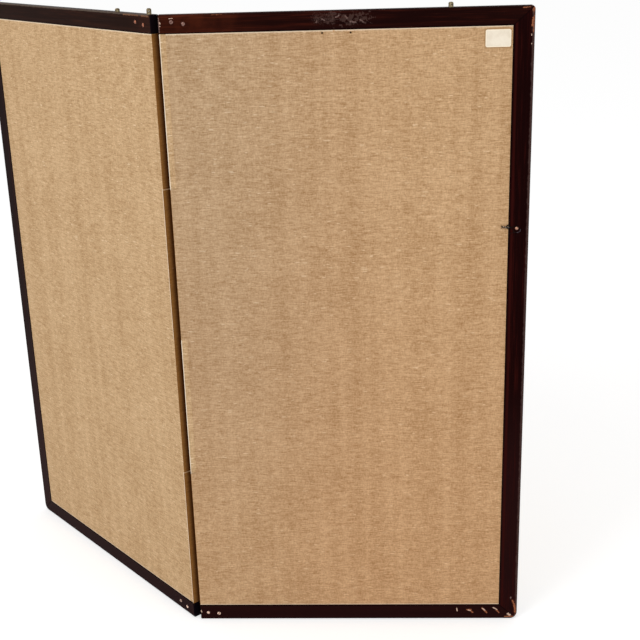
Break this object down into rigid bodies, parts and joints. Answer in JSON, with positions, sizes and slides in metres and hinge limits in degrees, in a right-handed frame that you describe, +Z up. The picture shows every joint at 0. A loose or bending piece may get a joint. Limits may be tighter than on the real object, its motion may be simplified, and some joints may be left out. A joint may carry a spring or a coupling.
{
  "type": "byobu folding screen",
  "caption": "Table-height byobu folding screen: cloth-backed, gilt-fronted leaves in a worn dark lacquer frame, joined by a double-acting cloth hinge.",
  "frame": {"origin": "on the floor, under the middle of the screen's bounding box as it stands partly folded", "axes": "+Z up; the gilt fronts face -Y and the cloth-covered backs, with the ridge of the fold, face +Y; the first leaf runs towards +X and the second leaf towards -X"},
  "size_m": [0.8998, 0.207, 0.9168],
  "materials": {
    "lacquered_wood": "dark brown-black lacquer, semi-gloss, streaked and worn through at the edges",
    "core_wood": "planed cedar, bare",
    "backing_paper": "thick layered kozo paper",
    "gold_leaf_paper": "gold leaf squares on paper",
    "brocade": "woven silk brocade",
    "linen": "tan plain-weave linen, matt",
    "nail_steel": "dull, worn, slightly coppery",
    "brass": "aged brass",
    "coppered_nail": "coppered, dull",
    "picture_wire": "galvanised, dull"
  },
  "bodies": {
    "second_leaf": {"second_leaf_core_hinge_stile": "core_wood", "second_leaf_core_free_stile": "core_wood", "second_leaf_core_top_rail": "core_wood", "second_leaf_core_bottom_rail": "core_wood", "second_leaf_lattice_uprights": "core_wood", "second_leaf_lattice_crosspieces": "core_wood", "second_leaf_front_backing_paper": "backing_paper", "second_leaf_rear_backing_paper": "backing_paper", "second_leaf_gold_ground": "gold_leaf_paper", "second_leaf_brocade_border": "brocade", "second_leaf_rear_cloth": "linen", "second_leaf_top_rail": "lacquered_wood", "second_leaf_bottom_rail": "lacquered_wood", "second_leaf_free_stile": "lacquered_wood", "second_leaf_rail_nails": "nail_steel", "second_leaf_edge_lining": "linen", "second_leaf_hanging_posts": "brass", "hinge_upper_front_flap": "linen", "hinge_bottom_front_flap": "linen", "hinge_top_wrap": "linen", "hinge_lower_wrap": "linen", "wire_nail": "coppered_nail", "wire_stub": "picture_wire"},
    "hinge_cloth": {"hinge_upper_gusset": "linen", "hinge_bottom_gusset": "linen"},
    "first_leaf": {"first_leaf_core_hinge_stile": "core_wood", "first_leaf_core_free_stile": "core_wood", "first_leaf_core_top_rail": "core_wood", "first_leaf_core_bottom_rail": "core_wood", "first_leaf_lattice_uprights": "core_wood", "first_leaf_lattice_crosspieces": "core_wood", "first_leaf_front_backing_paper": "backing_paper", "first_leaf_rear_backing_paper": "backing_paper", "first_leaf_gold_ground": "gold_leaf_paper", "first_leaf_brocade_border": "brocade", "first_leaf_rear_cloth": "linen", "first_leaf_top_rail": "lacquered_wood", "first_leaf_bottom_rail": "lacquered_wood", "first_leaf_free_stile": "lacquered_wood", "first_leaf_rail_nails": "nail_steel", "first_leaf_edge_lining": "linen", "first_leaf_hanging_posts": "brass", "hinge_upper_rear_flap": "linen", "hinge_bottom_rear_flap": "linen", "hinge_top_front_flap": "linen", "hinge_lower_front_flap": "linen"}
  },
  "joints": [
    {"name": "front_fold", "type": "hinge", "parent": "second_leaf", "child": "hinge_cloth", "pos_m": [0, 0.09041, 0], "axis": [0, 0, -1], "range_deg": [-47.3, 132.7]},
    {"name": "back_fold", "type": "hinge", "parent": "hinge_cloth", "child": "first_leaf", "pos_m": [0.00574, 0.10351, 0], "axis": [0, 0, 1], "range_deg": [0, 175]}
  ]
}
